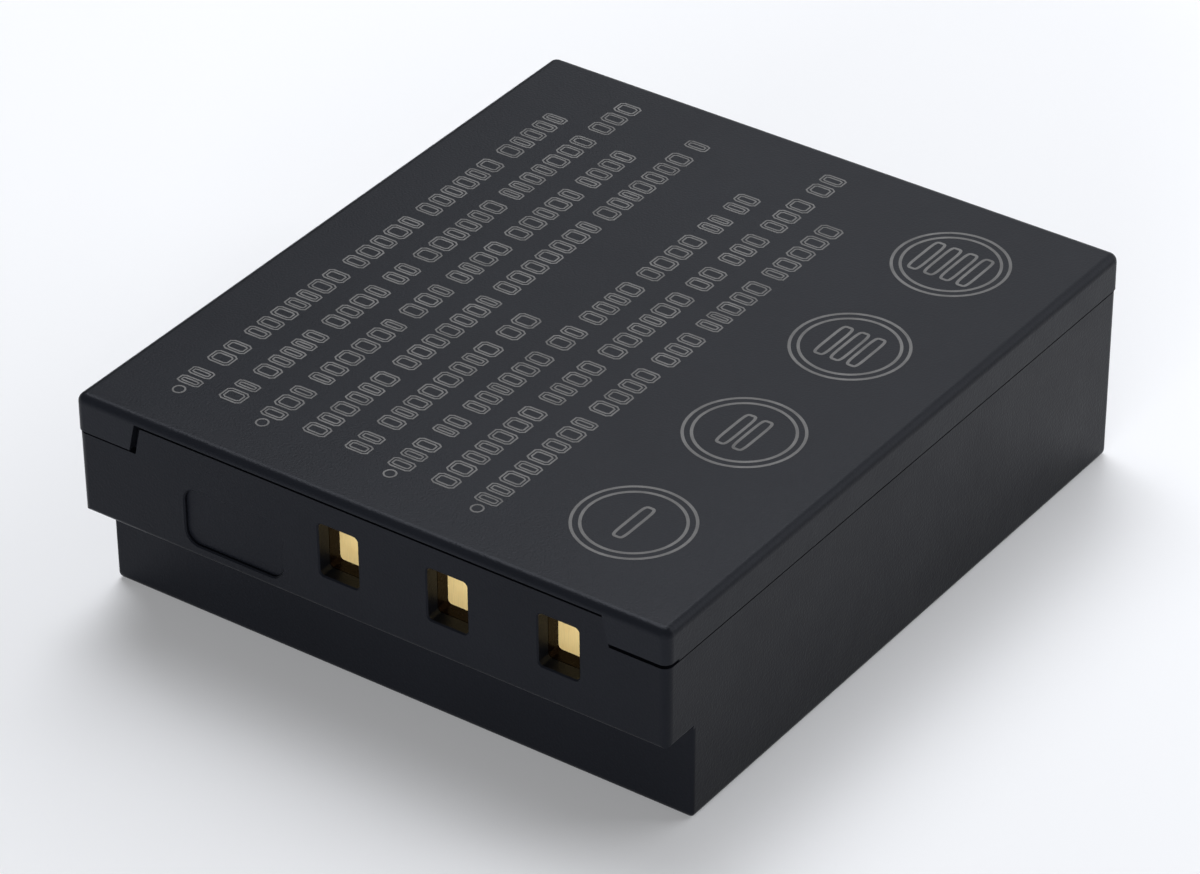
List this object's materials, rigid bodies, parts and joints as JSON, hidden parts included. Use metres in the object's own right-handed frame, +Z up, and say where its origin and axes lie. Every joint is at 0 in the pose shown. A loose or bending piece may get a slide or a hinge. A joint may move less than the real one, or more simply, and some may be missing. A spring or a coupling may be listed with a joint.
{
  "type": "camera battery",
  "caption": "Flat rechargeable camera battery: a black moulded case and lid around a sealed cell, with recessed gold contacts in its stepped end.",
  "frame": {"origin": "middle of the outer box, on the underside of the tray", "axes": "+X across the contacts, contact face towards -Y, +Z up out of the lid"},
  "size_m": [0.036, 0.0412, 0.0125],
  "materials": {
    "case_plastic": "black moulded plastic with a fine even grain",
    "lid_plastic": "black moulded plastic with a fine even grain, etched marks on top",
    "frame_plastic": "plain black moulded plastic",
    "contact_gold": "gold-plated, satin",
    "board_laminate": "green solder mask over glass laminate",
    "chip_moulding": "black epoxy moulding with tinned leads",
    "resistor_ceramic": "dark glaze over ceramic with tinned ends",
    "capacitor_ceramic": "tan fired ceramic with tinned ends",
    "nickel_strip": "rolled nickel",
    "fuse_polymer": "dark filled polymer",
    "fibre_paper": "grey-green fibre paper",
    "can_aluminium": "drawn aluminium, satin",
    "gasket_plastic": "natural moulded plastic",
    "terminal_nickel": "nickel plate, satin",
    "adhesive_tape": "white double-sided tape"
  },
  "bodies": {
    "root": {"case_tray": "case_plastic", "lid": "lid_plastic", "contact_frame": "frame_plastic", "positive_contact": "contact_gold", "thermistor_contact": "contact_gold", "negative_contact": "contact_gold", "protection_board": "board_laminate", "dual_mosfet": "chip_moulding", "protection_ic": "chip_moulding", "chip_resistors": "resistor_ceramic", "thermistor": "resistor_ceramic", "chip_capacitors": "capacitor_ceramic", "positive_tab": "nickel_strip", "negative_tab": "nickel_strip", "fuse_tab": "nickel_strip", "ptc_fuse": "fuse_polymer", "cap_insulator": "fibre_paper", "cell_can": "can_aluminium", "cell_cap": "can_aluminium", "fill_plug": "can_aluminium", "terminal_gasket": "gasket_plastic", "negative_terminal": "terminal_nickel", "tray_tape": "adhesive_tape", "lid_tape": "adhesive_tape"}
  },
  "joints": []
}
